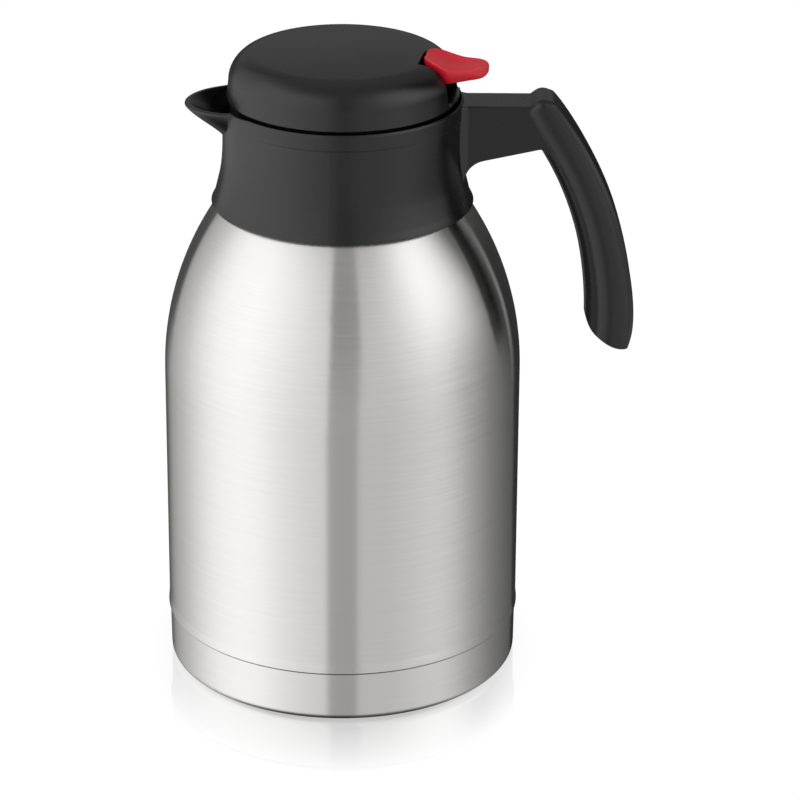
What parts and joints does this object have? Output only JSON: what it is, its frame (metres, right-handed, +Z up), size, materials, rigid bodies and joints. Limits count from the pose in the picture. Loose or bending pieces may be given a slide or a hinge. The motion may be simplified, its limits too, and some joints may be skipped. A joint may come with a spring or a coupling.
{
  "type": "vacuum jug",
  "caption": "Double-wall steel vacuum jug with a black spouted collar, cantilever grip, screw-in stopper lid and red thumb lever that lifts a spring-loaded pour valve.",
  "frame": {"origin": "centre of the round base on the plane it stands on", "axes": "+Z up along the jug's axis, +X towards the handle, -X towards the spout, +Y completes the right-handed set"},
  "size_m": [0.1975, 0.1508, 0.2715],
  "materials": {
    "steel": "circumferentially brushed stainless steel",
    "steel_base": "circumferentially brushed stainless steel",
    "flask_steel": "electropolished stainless steel",
    "getter": "sintered metal pill, dull grey",
    "seal_glass": "fused vacuum sealing bead, dark and glossy",
    "black_plastic": "satin black moulded polypropylene",
    "black_plastic_inner": "plain black moulded plastic",
    "grip_strip": "black moulded cover strip, a little darker than the grip",
    "stopper_plastic": "black food-grade polypropylene",
    "silicone": "translucent white silicone rubber",
    "steel_pin": "bright stainless steel",
    "spring_steel": "stainless spring wire",
    "red_plastic": "satin red moulded plastic"
  },
  "bodies": {
    "jug": {"outer_shell": "steel", "inner_flask": "flask_steel", "vacuum_base": "flask_steel", "getter": "getter", "vacuum_seal": "seal_glass", "base_cup": "steel_base", "collar": "black_plastic", "grip_cover": "grip_strip", "neck_ring": "black_plastic_inner", "neck_gasket": "silicone"},
    "lid_seal": {"stopper_seal": "silicone"},
    "stopper": {"stopper_body": "stopper_plastic", "lid_dome": "black_plastic", "lever_frame": "black_plastic_inner", "lever_pin": "steel_pin", "stem_seal": "silicone"},
    "lever": {"thumb_lever": "red_plastic"},
    "valve": {"valve_stem": "steel_pin", "spring_retainer": "steel_pin", "valve_plug": "stopper_plastic", "valve_seal": "silicone", "valve_spring": "spring_steel"}
  },
  "joints": [
    {"name": "lid_lift", "type": "slide", "parent": "jug", "child": "lid_seal", "axis": [0, 0, 1], "range_m": [0, 0.053]},
    {"name": "lid_turn", "type": "hinge", "parent": "lid_seal", "child": "stopper", "pos_m": [0, 0, 0.23], "axis": [0, 0, 1], "range_deg": [0, 780]},
    {"name": "lever_press", "type": "hinge", "parent": "stopper", "child": "lever", "pos_m": [0.03348, -0.0059, 0.2575], "axis": [0.1736, 0.9848, 0], "range_deg": [0, 8.5], "stiffness_Nm_per_rad": 0.4, "springref_deg": -17.19},
    {"name": "valve_stroke", "type": "slide", "parent": "stopper", "child": "valve", "axis": [0, 0, 1], "range_m": [0, 0.0051], "deforming": ["valve_spring"]}
  ],
  "couplings": [
    {"joint": "lid_lift", "follows": "lid_turn", "m_per_rad": 0.0038197},
    {"joint": "valve_stroke", "follows": "lever_press", "m_per_rad": 0.034}
  ]
}
